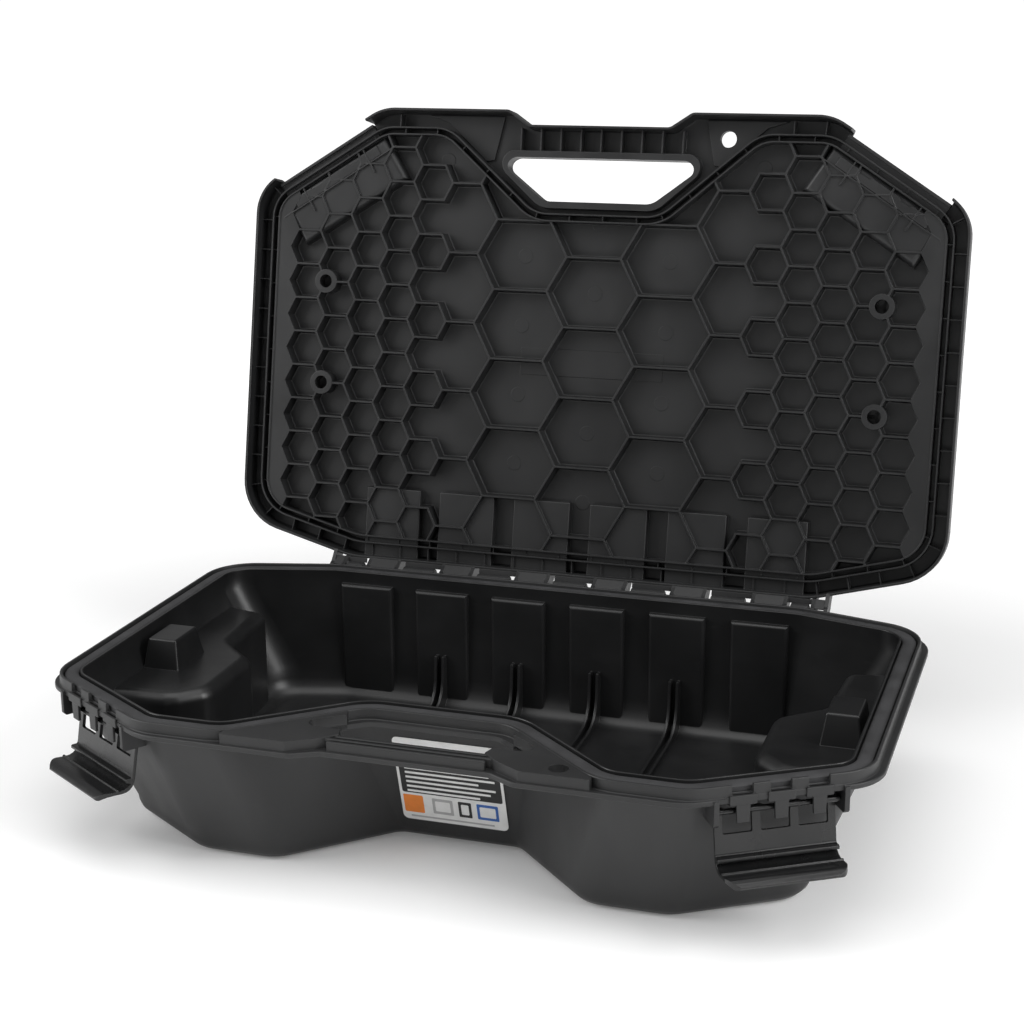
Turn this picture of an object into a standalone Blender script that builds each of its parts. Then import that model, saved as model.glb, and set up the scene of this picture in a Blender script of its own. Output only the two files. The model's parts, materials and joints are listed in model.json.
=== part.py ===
"""Cargo case: a moulded tub and a ribbed lid on a rear hinge, closed by two corner latches.

The case stands open, with the lid leaning back on its stop and both latch levers hanging down.
Metres, +Z up, +X to the right, +Y to the rear. The origin is the middle of the tub's flat bottom.
"""
import math

import bmesh
import bpy
from mathutils import Matrix, Vector

# Driving dimensions
RIM_Z = 0.110  # height of the sealing plane, where tub and lid meet
REAR_Y = 0.165  # the rear run of the sealing line
HALF_WIDTH = 0.280  # the sealing line's side runs
DEPTH = 0.3405  # from its rear run to its front run
FLANGE = 0.0155  # from the sealing line to the outer edge of flange and lid
WALL = 0.003  # general wall thickness
GAP = 0.0003  # clearance between touching pieces
LID_TOP = 0.016  # lid's outer face above the sealing plane
PANEL = 0.0125  # lid's inner face above the sealing plane
RIB_TIP = 0.001  # honeycomb rib tips above the sealing plane
RIB = 0.0020  # honeycomb rib thickness
SKIRT_TIP = -0.0065  # lower edge of the lid's skirt, from the sealing plane
FLANGE_TOP = -0.0075
FLANGE_BOTTOM = -0.0110
RIM_TOP = 0.0002  # the raised rim over the sealing plane
LID_OPEN = math.radians(102.0)
LATCH_SWING = math.radians(170.0)

# Corners of the sealing line's right half, from the grip recess round to the rear:
# x, distance in front of the rear run, corner radius
SEAL_HALF = [
    (0.053, 0.2735, 0.034),
    (0.130, DEPTH, 0.030),
    (0.185, DEPTH, 0.030),
    (HALF_WIDTH, 0.2800, 0.026),
    (HALF_WIDTH, 0.0230, 0.030),
    (0.192, 0.0, 0.060),
]
# The lid's outer edge, which stays straight across the grip recess
EDGE_HALF = [
    (0.058, 0.3465, 0.008),
    (0.0755, 0.3583, 0.008),
    (0.186, 0.3583, 0.040),
    (HALF_WIDTH + FLANGE, 0.2885, 0.036),
    (HALF_WIDTH + FLANGE, 0.0110, 0.042),
    (0.194, -FLANGE, 0.070),
]
# The outer edge of the tub's flange
FLANGE_HALF = [
    (0.058, 0.3440, 0.008),
    (0.0755, 0.3533, 0.008),
    (0.1845, 0.3533, 0.040),
    (0.2935, 0.2838, 0.036),
    (0.2935, 0.0110, 0.042),
    (0.194, -FLANGE, 0.070),
]
# The tub's outer wall where it meets the floor
FOOT_HALF = [
    (0.042, 0.2465, 0.008),
    (0.108, 0.3110, 0.030),
    (0.168, 0.3110, 0.034),
    (0.246, 0.2600, 0.034),
    (0.246, 0.0220, 0.034),
    (0.182, 0.0050, 0.055),
]
ARC_STEPS = 3  # segments in each rounded corner

# Latches: the front chamfers carry them
LATCH_WIDTH = 0.080
PIVOT_OUT = 0.0050  # pivot bar, outwards from the sealing line
PIVOT_Z = -0.0180
PIVOT_R = 0.0019
CLIP_PITCH = 0.0250
CLIP_WIDTH = 0.0180
NECK_WIDTH = 0.0095

# Hinge
HINGE_Y = REAR_Y + 0.0260
HINGE_Z = RIM_Z - 0.0105
PIN_R = 0.0020
BARREL_R = 0.0072
STATION = 0.065  # pitch of the pockets and the hinge knuckles
EAR_OFFSET = 0.01275
EAR_X = [n * STATION + s * EAR_OFFSET for n in (-2.5, -1.5, -0.5, 0.5, 1.5, 2.5) for s in (-1, 1)]
END_EAR_X = [-0.2075, -0.1970, 0.1970, 0.2075]
POCKET_X = [STATION * (n - 2.5) for n in range(6)]
POCKET_HALF = 0.0225
POCKET_FACE = REAR_Y - 0.0120

# Honeycomb
BIG_PITCH = 0.0607
BIG_HEIGHT = 0.0566
BIG_EDGE = 0.0452
SMALL_PITCH = 0.0272
SMALL_HEIGHT = 0.0283
SMALL_EDGE = 0.0202
SMALL_FIRST_X = 0.1405  # innermost column of small cells
BIG_FIRST_Y = REAR_Y - 0.2140  # a cell centre of the middle column
BOSS_XY = [(s * 0.232, REAR_Y - d) for s in (-1, 1) for d in (0.2142, 0.1292)]

# Turns a profile drawn in XY into one drawn in YZ, extruded along X
ALONG_X = Matrix(((0, 0, 1, 0), (1, 0, 0, 0), (0, 1, 0, 0), (0, 0, 0, 1)))

LOCK_X = 0.1020
LOCK_Y = REAR_Y - 0.3400
LOCK_R = 0.0065

LABEL_WIDTH = 0.077
LABEL_HEIGHT = 0.072


def clear_scene():
    for old in list(bpy.data.objects):
        bpy.data.objects.remove(old, do_unlink=True)


def new_collection(name):
    group = bpy.data.collections.new(name)
    bpy.context.scene.collection.children.link(group)
    return group


def material(name, color, roughness, metallic=0.0):
    mat = bpy.data.materials.new(name)
    mat.use_nodes = True
    shader = mat.node_tree.nodes["Principled BSDF"]
    shader.inputs["Base Color"].default_value = (*color, 1.0)
    shader.inputs["Roughness"].default_value = roughness
    shader.inputs["Metallic"].default_value = metallic
    return mat


def add_object(name, bm, group, mat=None):
    bmesh.ops.recalc_face_normals(bm, faces=bm.faces)
    mesh = bpy.data.meshes.new(name)
    bm.to_mesh(mesh)
    bm.free()
    thing = bpy.data.objects.new(name, mesh)
    group.objects.link(thing)
    if mat:
        mesh.materials.append(mat)
    else:
        thing.display_type = "WIRE"
        thing.hide_render = True
    return thing


def boolean(target, group, operation):
    mod = target.modifiers.new(f"{operation.lower()} {group.name}", "BOOLEAN")
    mod.operation = operation
    mod.operand_type = "COLLECTION"
    mod.collection = group
    mod.solver = "EXACT"
    mod.use_self = True


# Outlines


def corners(half):
    """Both halves of a plan, counter-clockwise seen from above."""
    right = [(x, REAR_Y - d, r) for x, d, r in half]
    return right + [(-x, y, r) for x, y, r in reversed(right)]


def outline(half, offset=0.0):
    """A plan's rounded outline, moved outwards by offset. Every outline has the same point count."""
    plan = corners(half)
    points = []
    for i, (x, y, radius) in enumerate(plan):
        here = Vector((x, y))
        back = (Vector(plan[i - 1][:2]) - here).normalized()
        ahead = (Vector(plan[(i + 1) % len(plan)][:2]) - here).normalized()
        bend = 1 if back.cross(ahead) < 0 else -1  # 1 at an outward corner, -1 at an inward one
        centre = here + (back + ahead).normalized() * (radius / math.sin(back.angle(ahead) / 2))
        arc_radius = max(radius + bend * offset, 0.0005)
        start = math.atan2(back.x * bend, -back.y * bend)
        end = math.atan2(-ahead.x * bend, ahead.y * bend)
        sweep = (end - start + math.pi) % (2 * math.pi) - math.pi
        for k in range(ARC_STEPS + 1):
            a = start + sweep * k / ARC_STEPS
            points.append((centre.x + arc_radius * math.cos(a), centre.y + arc_radius * math.sin(a)))
    return points


def loft(rings):
    """A closed solid through rings of equal point count; each ring is (outline points, z)."""
    bm = bmesh.new()
    loops = [[bm.verts.new((x, y, z)) for x, y in points] for points, z in rings]
    for low, high in zip(loops, loops[1:]):
        for i in range(len(low)):
            j = (i + 1) % len(low)
            bm.faces.new((low[i], low[j], high[j], high[i]))
    bm.faces.new(list(reversed(loops[0])))
    bm.faces.new(loops[-1])
    return bm


def ring_solid(sections):
    """A closed band: the sections run round its profile, and the last joins the first."""
    bm = bmesh.new()
    loops = [[bm.verts.new((x, y, z)) for x, y in points] for points, z in sections]
    for low, high in zip(loops, loops[1:] + loops[:1]):
        for i in range(len(low)):
            j = (i + 1) % len(low)
            bm.faces.new((low[i], low[j], high[j], high[i]))
    return bm


def box(low, high, frame=Matrix()):
    bm = bmesh.new()
    bmesh.ops.create_cube(bm, size=1.0)
    size = Vector(high) - Vector(low)
    middle = (Vector(high) + Vector(low)) / 2
    bmesh.ops.scale(bm, vec=size, verts=bm.verts)
    bmesh.ops.translate(bm, vec=middle, verts=bm.verts)
    bmesh.ops.transform(bm, matrix=frame, verts=bm.verts)
    return bm


def rod(radius, low, high, y, z, sides=16):
    """A cylinder along X."""
    bm = bmesh.new()
    bmesh.ops.create_cone(bm, cap_ends=True, segments=sides, radius1=radius, radius2=radius, depth=high - low)
    bmesh.ops.rotate(bm, matrix=Matrix.Rotation(math.pi / 2, 3, "Y"), verts=bm.verts)
    bmesh.ops.translate(bm, vec=((low + high) / 2, y, z), verts=bm.verts)
    return bm


def post(radius, x, y, low, high, sides=20):
    """A cylinder along Z."""
    bm = bmesh.new()
    bmesh.ops.create_cone(bm, cap_ends=True, segments=sides, radius1=radius, radius2=radius, depth=high - low)
    bmesh.ops.translate(bm, vec=(x, y, (low + high) / 2), verts=bm.verts)
    return bm


def prism(points, low, high, frame=Matrix()):
    """A flat polygon in XY, extruded from low to high along Z."""
    bm = bmesh.new()
    base = bm.faces.new([bm.verts.new((x, y, low)) for x, y in points])
    top = bmesh.ops.extrude_face_region(bm, geom=[base])["geom"]
    raised = [v for v in top if isinstance(v, bmesh.types.BMVert)]
    bmesh.ops.translate(bm, vec=(0, 0, high - low), verts=raised)
    bmesh.ops.transform(bm, matrix=frame, verts=bm.verts)
    return bm


def round_corners(bm, width, segments=1, edges=None):
    bmesh.ops.bevel(
        bm,
        geom=edges or bm.edges[:],
        offset=width,
        segments=segments,
        profile=0.5,
        affect="EDGES",
        clamp_overlap=True,
    )
    return bm


def side_matrix(side):
    """Mirror for the left-hand copy of a right-hand shape."""
    return Matrix.Scale(side, 4, Vector((1, 0, 0)))


def latch_frame(side):
    """X along the chamfer, Y outwards, Z up; the origin is the middle of the pivot bar."""
    front = Vector((side * SEAL_HALF[2][0], REAR_Y - SEAL_HALF[2][1], 0))
    rear = Vector((side * SEAL_HALF[3][0], REAR_Y - SEAL_HALF[3][1], 0))
    along = (rear - front).normalized() * side
    up = Vector((0, 0, 1))
    out = Vector((along.y, -along.x, 0))
    middle = (front + rear) / 2 + out * PIVOT_OUT + up * (RIM_Z + PIVOT_Z)
    turn = Matrix((-along, out, up)).transposed().to_4x4()
    return Matrix.Translation(middle) @ turn


# Tub


def tub_shell(group, mat):
    """The moulded wall: up the outside, over flange, rim and seal channel, down the inside."""
    z = RIM_Z
    rings = [
        (outline(FOOT_HALF, -0.010), 0.0),
        (outline(FOOT_HALF, -0.004), 0.003),
        (outline(FOOT_HALF, 0.0), 0.012),
        (outline(SEAL_HALF, -0.003), z - 0.016),
        (outline(SEAL_HALF, 0.0085), z + FLANGE_BOTTOM),
        (outline(FLANGE_HALF, 0.0), z + FLANGE_BOTTOM),
        (outline(FLANGE_HALF, 0.0), z + FLANGE_TOP),
        (outline(SEAL_HALF, 0.0090), z + FLANGE_TOP),
        (outline(SEAL_HALF, 0.0083), z + RIM_TOP),
        (outline(SEAL_HALF, 0.0063), z + RIM_TOP),
        (outline(SEAL_HALF, 0.0056), z - 0.0062),
        (outline(SEAL_HALF, -0.0056), z - 0.0062),
        (outline(SEAL_HALF, -0.0060), z + 0.0),
        (outline(SEAL_HALF, -0.0076), z + 0.0),
        (outline(SEAL_HALF, -0.0066), z - 0.016),
        (outline(FOOT_HALF, -WALL - 0.0006), 0.012),
        (outline(FOOT_HALF, -WALL - 0.0050), 0.0050),
        (outline(FOOT_HALF, -WALL - 0.0120), 0.0034),
    ]
    return add_object("tub", loft(rings), group, mat)


def tub_core(group):
    """The space inside the tub's outer wall, which trims what is added to the shell."""
    rings = [
        (outline(FOOT_HALF, -0.0105), 0.0005),
        (outline(FOOT_HALF, -0.0045), 0.0035),
        (outline(FOOT_HALF, -0.0005), 0.0120),
        (outline(SEAL_HALF, -0.0035), RIM_Z - 0.0160),
        (outline(SEAL_HALF, -0.0035), RIM_Z - 0.0050),
    ]
    add_object("core", loft(rings), group)


def bump(side, grow, out_by, foot):
    """The side wall's inward swelling round the outer mounting recess, larger by grow."""
    x_out = HALF_WIDTH + out_by
    y0 = REAR_Y
    lobe = [
        (x_out, y0 - 0.240 - grow),
        (0.225 - grow, y0 - 0.236 - grow),
        (0.203 - grow, y0 - 0.215 - grow),
        (0.203 - grow, y0 - 0.150 + grow),
        (0.235 - grow, y0 - 0.122 + grow),
        (0.238 - grow, y0 - 0.050 + grow),
        (x_out, y0 - 0.042 + grow),
    ]
    bm = prism(lobe, foot, RIM_Z - 0.030 + grow)
    top = [e for e in bm.edges if all(v.co.z > foot + 0.01 for v in e.verts)]
    round_corners(bm, 0.010, 2, top)
    bmesh.ops.transform(bm, matrix=side_matrix(side), verts=bm.verts)
    return bm


def bump_knob(side, grow):
    """The four-sided knob on the swelling."""
    bm = bmesh.new()
    bmesh.ops.create_cone(bm, cap_ends=True, segments=4, radius1=0.0247, radius2=0.0178, depth=0.030)
    bmesh.ops.rotate(bm, matrix=Matrix.Rotation(math.pi / 4, 3, "Z"), verts=bm.verts)
    bmesh.ops.scale(bm, vec=(0.90, 1.36, 1.0), verts=bm.verts)
    bmesh.ops.translate(bm, vec=(0.2555 - grow / 2, REAR_Y - 0.171, RIM_Z - 0.023 + grow), verts=bm.verts)
    bmesh.ops.transform(bm, matrix=side_matrix(side), verts=bm.verts)
    return bm


def add_tub_inside(group, core):
    """Pockets, divider ribs and side swellings, trimmed to the shell, and the plates beside the grip."""
    for n, x in enumerate(POCKET_X):
        low = (x - POCKET_HALF, POCKET_FACE, 0.001)
        high = (x + POCKET_HALF, REAR_Y - 0.004, RIM_Z - 0.0105)
        bm = box(low, high)
        front = [e for e in bm.edges if all(v.co.y < POCKET_FACE + 0.001 for v in e.verts)]
        top_front = [e for e in front if all(v.co.z > 0.05 for v in e.verts)]
        round_corners(bm, 0.004, 2, top_front)
        add_object(f"pocket {n}", bm, group)
    # A divider rib climbs the pocket's face and runs forward over the floor
    depths = [(0.25, 0.002), (0.008, 0.002), (0.008, 0.047), (0.0182, 0.046)]
    depths += [(0.0205, 0.022), (0.0290, 0.011), (0.0450, 0.0075), (0.25, 0.0065)]
    rib_side = [(REAR_Y - depth, height) for depth, height in depths]
    for n in range(4):
        middle = (n - 1.5) * STATION
        for side in (-1, 1):
            x = middle + side * 0.0031
            add_object(f"divider rib {n} {side}", prism(rib_side, x - 0.0012, x + 0.0012, ALONG_X), group)
    for side in (-1, 1):
        add_object(f"swelling {side}", bump(side, WALL, -0.004, 0.001), group)
        add_object(f"knob {side}", bump_knob(side, WALL), group)
    for helper in group.objects:
        boolean(helper, core, "INTERSECT")
    for side in (-1, 1):
        corners_xd = [(0.0600, 0.2896), (0.1251, 0.3462), (0.1251, 0.3515), (0.0790, 0.3515)]
        corners_xd += [(0.0600, 0.3400), (0.0500, 0.3300)]
        plate = [(side * x, REAR_Y - depth) for x, depth in corners_xd]
        add_object(f"grip plate {side}", prism(plate, RIM_Z + FLANGE_BOTTOM + 0.001, RIM_Z), group)


def add_tub_outside(group):
    """Hinge barrels, latch cheeks, T-shaped clips and the ridged grip."""
    barrels = [(n * STATION - 0.0135, n * STATION + 0.0135) for n in range(-2, 3)]
    barrels += [(-0.194, -0.180), (0.180, 0.194)]
    for n, (low, high) in enumerate(barrels):
        add_object(f"barrel {n}", rod(BARREL_R, low, high, HINGE_Y, HINGE_Z, 16), group)
        web = box((low, REAR_Y - 0.004, HINGE_Z - 0.0070), (high, HINGE_Y - 0.002, HINGE_Z + 0.0020))
        add_object(f"barrel web {n}", web, group)
    for side in (-1, 1):
        frame = latch_frame(side)
        for end in (-1, 1):
            s = end * (LATCH_WIDTH / 2 + 0.0026)
            cheek = [(-0.0135, -0.0080), (0.0065, -0.0080), (0.0065, 0.0100), (-0.0095, 0.0100)]
            add_object(f"cheek {side} {end}", prism(cheek, s - 0.0018, s + 0.0018, frame @ ALONG_X), group)
        for n in (-1, 0, 1):
            s = n * CLIP_PITCH
            head = box((s - CLIP_WIDTH / 2, 0.0020, 0.0054), (s + CLIP_WIDTH / 2, 0.0055, 0.0118), frame)
            neck = box((s - NECK_WIDTH / 2, 0.0033, -0.0063), (s + NECK_WIDTH / 2, 0.0054, 0.0066), frame)
            add_object(f"clip head {side} {n}", head, group)
            add_object(f"clip neck {side} {n}", neck, group)
    for n in range(3):
        y = REAR_Y - 0.3305 - 0.0050 * n
        half = 0.060 - 0.003 * n
        low, high = (-half, y - 0.0015, RIM_Z - 0.0100), (half, y + 0.0015, RIM_Z - 0.0010)
        add_object(f"grip ridge {n}", box(low, high), group)


def grip_opening(grow):
    """The hand opening's outline, shared by tub and lid."""
    half = [(0.045, 0.2865), (0.0790, 0.3125), (0.0745, 0.3215)]
    moved = [(0.6, -1.0), (0.9, 0.0), (0.9, 1.0)]
    points = [(x + grow * dx, REAR_Y - d - grow * dd) for (x, d), (dx, dd) in zip(half, moved)]
    return points + [(-x, y) for x, y in reversed(points)]


def opening_prism(grow, low, high):
    bm = prism(grip_opening(grow), low, high)
    upright = [e for e in bm.edges if abs(e.verts[0].co.z - e.verts[1].co.z) > 0.001]
    return round_corners(bm, 0.006, 2, upright)


def cut_tub(group):
    """Everything taken out of the tub: outer recesses, latch notches, grip slot, pin and lock holes."""
    for n, x in enumerate(POCKET_X):
        low = (x - POCKET_HALF + WALL, POCKET_FACE + WALL, -0.01)
        high = (x + POCKET_HALF - WALL, REAR_Y + 0.010, RIM_Z - 0.0185)
        add_object(f"pocket recess {n}", box(low, high), group)
    for side in (-1, 1):
        add_object(f"mount recess {side}", bump(side, 0.0, 0.03, -0.02), group)
        frame = latch_frame(side)
        half = LATCH_WIDTH / 2 + 0.0007
        add_object(f"flange gap {side}", box((-half, 0.0043, -0.02), (half, 0.02, 0.0300), frame), group)
        for n in (-1, 0, 1):
            s = n * CLIP_PITCH
            notch = box((s - 0.007, 0.0007, 0.0118), (s + 0.007, 0.01, 0.04), frame)
            add_object(f"rim notch {side} {n}", notch, group)
    add_object("grip slot", opening_prism(0.0, RIM_Z - 0.03, RIM_Z + 0.01), group)
    add_object("lock hole", post(LOCK_R, LOCK_X, LOCK_Y, RIM_Z - 0.03, RIM_Z + 0.01), group)


# Lid, modelled closed; z is counted from the sealing plane


def lid_shell(group, mat):
    rings = [
        (outline(EDGE_HALF, -0.0070), LID_TOP),
        (outline(EDGE_HALF, -0.0020), LID_TOP - 0.0012),
        (outline(EDGE_HALF, 0.0), LID_TOP - 0.0060),
        (outline(EDGE_HALF, 0.0), SKIRT_TIP),
        (outline(EDGE_HALF, -0.0020), SKIRT_TIP),
        (outline(EDGE_HALF, -0.0024), PANEL),
    ]
    return add_object("lid", loft([(p, z + RIM_Z) for p, z in rings]), group, mat)


def inset_polygon(points, inset):
    """A polygon with each side moved in; the points run counter-clockwise."""
    result = []
    for i, point in enumerate(points):
        here, back, ahead = Vector(point), Vector(points[i - 1]), Vector(points[(i + 1) % len(points)])
        d1, d2 = (here - back).normalized(), (ahead - here).normalized()
        n1, n2 = Vector((-d1.y, d1.x)), Vector((-d2.y, d2.x))
        result.append(tuple(here + (n1 + n2) * (inset / (1 + n1.dot(n2)))))
    return result


def cell(x, y, edge, pitch, height):
    """Corner points of a flat-topped cell, counter-clockwise from its left point."""
    point = pitch - edge / 2
    return [
        (x - point, y),
        (x - edge / 2, y - height / 2),
        (x + edge / 2, y - height / 2),
        (x + point, y),
        (x + edge / 2, y + height / 2),
        (x - edge / 2, y + height / 2),
    ]


def honeycomb_cells():
    """Large cells in the middle, small cells at the sides, and merged cells between them."""
    cells = []
    for column in (-1, 0, 1):
        shift = BIG_HEIGHT / 2 if column else 0.0
        for row in range(-4, 5):
            y = BIG_FIRST_Y + row * BIG_HEIGHT + shift
            cells.append(cell(column * BIG_PITCH, y, BIG_EDGE, BIG_PITCH, BIG_HEIGHT))
    edge_x = BIG_PITCH * 2 - BIG_EDGE / 2  # where the large cells' side points end
    for side in (-1, 1):
        for row in range(-4, 5):
            y = BIG_FIRST_Y + row * BIG_HEIGHT + BIG_HEIGHT / 2
            cells.append(cell(side * SMALL_FIRST_X, y, SMALL_EDGE, SMALL_PITCH, SMALL_HEIGHT))
            cells.append(merged_cell(side, y + BIG_HEIGHT / 2, edge_x))
        for column in (1, 2, 3, 4):
            x = side * (SMALL_FIRST_X + column * SMALL_PITCH)
            first_y = BIG_FIRST_Y + BIG_HEIGHT / 2 + (SMALL_HEIGHT / 2 if column % 2 else 0.0)
            for row in range(-7, 8):
                cells.append(cell(x, first_y + row * SMALL_HEIGHT, SMALL_EDGE, SMALL_PITCH, SMALL_HEIGHT))
    return cells


def merged_cell(side, y, edge_x):
    """A cell that joins a large one's outer half to a small one."""
    x = SMALL_FIRST_X
    small_point = SMALL_PITCH - SMALL_EDGE / 2
    q, h = SMALL_HEIGHT / 2, BIG_HEIGHT / 2
    half = [(edge_x, -h), (x - small_point, -h), (x - SMALL_EDGE / 2, -q), (x + SMALL_EDGE / 2, -q)]
    points = half + [(x + small_point, 0.0)] + [(px, -py) for px, py in reversed(half)]
    points.append((BIG_PITCH + BIG_EDGE / 2, 0.0))
    points = [(side * px, y + py) for px, py in points]
    return points if side > 0 else list(reversed(points))


def honeycomb(group, cutters):
    """A plate on the lid's inner face with every cell cut out of it."""
    line = outline(SEAL_HALF, -0.0030)
    plate = add_object("honeycomb", loft([(line, RIM_Z + RIB_TIP), (line, RIM_Z + PANEL + 0.001)]), group)
    limit_x = HALF_WIDTH + 0.02
    bm = bmesh.new()
    for points in honeycomb_cells():
        if min(abs(x) for x, y in points) > limit_x or not REAR_Y - 0.38 < points[0][1] < REAR_Y + 0.03:
            continue
        part = prism(inset_polygon(points, RIB / 2), RIM_Z - 0.01, RIM_Z + PANEL + 0.0002)
        mesh = bpy.data.meshes.new("cell")
        part.to_mesh(mesh)
        part.free()
        bm.from_mesh(mesh)
        bpy.data.meshes.remove(mesh)
    add_object("cells", bm, cutters)
    boolean(plate, cutters, "DIFFERENCE")
    return plate


def build_lid_adds(group):
    """Double sealing rib, bosses, latch hollows, rear blocks, grip wall and hinge ears."""
    for n, middle in enumerate((-0.00275, 0.00275)):
        a, b = middle - 0.0007, middle + 0.0007
        top = RIM_Z + PANEL + 0.001
        profile = [(a, RIM_Z), (b, RIM_Z), (b, top), (a, top)]
        rings = [(outline(SEAL_HALF, out), height) for out, height in profile]
        add_object(f"sealing rib {n}", ring_solid(rings), group)
    for n, (x, y) in enumerate(BOSS_XY):
        add_object(f"boss {n}", post(0.0100, x, y, RIM_Z + RIB_TIP - 0.0005, RIM_Z + PANEL + 0.001), group)
    for n, x in enumerate(POCKET_X):
        low = (x - 0.024, REAR_Y - 0.044, RIM_Z + 0.0045)
        high = (x + 0.024, REAR_Y + FLANGE - 0.001, RIM_Z + PANEL + 0.001)
        add_object(f"rear block {n}", box(low, high), group)
    add_object("grip wall", opening_prism(0.0055, RIM_Z + 0.0022, RIM_Z + PANEL + 0.001), group)
    for side in (-1, 1):
        frame = latch_frame(side)
        low, high = (-0.0535, -0.0495, 0.0185), (0.0535, -0.0075, 0.0315)
        bm = box(low, high, frame)
        round_corners(bm, 0.006, 2, [e for e in bm.edges if all(v.co.z < RIM_Z + 0.005 for v in e.verts)])
        add_object(f"latch hollow {side}", bm, group)
        shelf = box((-0.0480, -0.0095, 0.0230), (0.0480, 0.0057, 0.0290), frame)
        add_object(f"latch shelf {side}", shelf, group)
        wall = box((-0.0480, 0.0033, 0.0202), (0.0480, 0.0057, 0.0240), frame)
        add_object(f"latch wall {side}", wall, group)
    for n, x in enumerate(EAR_X + END_EAR_X):
        add_object(f"hinge ear disc {n}", rod(0.0066, x - 0.0016, x + 0.0016, HINGE_Y, HINGE_Z, 12), group)
        root_y = REAR_Y + FLANGE - (0.0060 if abs(x) > 0.2 else 0.0010)  # the skirt falls away at the ends
        arm = [
            (HINGE_Y - 0.0066, HINGE_Z),
            (HINGE_Y + 0.0066, HINGE_Z),
            (HINGE_Y + 0.0060, HINGE_Z + 0.0060),
            (root_y, RIM_Z + LID_TOP - 0.0065),
            (root_y, RIM_Z + SKIRT_TIP + 0.0005),
        ]
        add_object(f"hinge ear arm {n}", prism(arm, x - 0.0016, x + 0.0016, ALONG_X), group)


def cut_lid(group):
    """Latch recesses and ledges, grip opening, boss holes, lock hole and pin holes."""
    for side in (-1, 1):
        frame = latch_frame(side)
        pocket = box((-0.0465, -0.0435, 0.0205), (0.0465, -0.0100, 0.06), frame)
        add_object(f"latch recess {side}", pocket, group)
        ledge = box((-0.0470, -0.0105, 0.0280), (0.0470, 0.03, 0.06), frame)
        add_object(f"latch ledge {side}", ledge, group)
        edge = box((-0.0470, 0.0057, 0.0), (0.0470, 0.03, 0.06), frame)
        add_object(f"latch set-back {side}", edge, group)
    add_object("grip opening", opening_prism(0.0, RIM_Z - 0.03, RIM_Z + 0.03), group)
    for n, (x, y) in enumerate(BOSS_XY):
        add_object(f"boss hole {n}", post(0.0055, x, y, RIM_Z - 0.01, RIM_Z + PANEL - 0.0015), group)
    add_object("lid lock hole", post(LOCK_R, LOCK_X, LOCK_Y, RIM_Z - 0.03, RIM_Z + 0.03), group)
    add_object("lid pin hole", rod(PIN_R + GAP, -0.23, 0.23, HINGE_Y, HINGE_Z), group)


# Latch lever, modelled closed; x along the bar, y outwards, z up from the pivot


def lever(side, group, mat):
    half = LATCH_WIDTH / 2
    # From the bar the arms step out to the wall, which rises to the hook channel and the lip over it
    profile = [(0.0, -0.0016), (0.0060, -0.0014), (0.0084, 0.0006), (0.0090, 0.0050), (0.0090, 0.0300)]
    profile += [(0.0080, 0.0355), (0.0045, 0.0392), (-0.0020, 0.0408), (-0.0105, 0.0418), (-0.0150, 0.0448)]
    profile += [(-0.0172, 0.0436), (-0.0125, 0.0394), (-0.0030, 0.0384), (0.0030, 0.0368), (0.0060, 0.0340)]
    profile += [(0.0020, 0.0330), (0.0020, 0.0302), (0.0066, 0.0294), (0.0066, 0.0050)]
    profile += [(0.0056, 0.0018), (0.0, 0.0016)]
    name = "latch_lever_right" if side > 0 else "latch_lever_left"
    thing = add_object(name, prism(profile, -half, half, ALONG_X), group, mat)
    adds = bpy.data.collections.new(f"{name} bar")
    cuts = bpy.data.collections.new(f"{name} windows")
    for extra in (adds, cuts):
        bpy.data.collections["cutters"].children.link(extra)
    add_object(f"{name} pivot bar", rod(PIVOT_R, -half, half, 0.0, 0.0, 12), adds)
    for n in (-1, 0, 1):
        s = n * CLIP_PITCH
        reach = CLIP_WIDTH / 2 + 0.0008
        add_object(f"{name} window {n}", box((s - reach, -0.004, -0.004), (s + reach, 0.012, 0.0162)), cuts)
    boolean(thing, cuts, "DIFFERENCE")
    boolean(thing, adds, "UNION")
    return thing, list(adds.objects) + list(cuts.objects)


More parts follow.
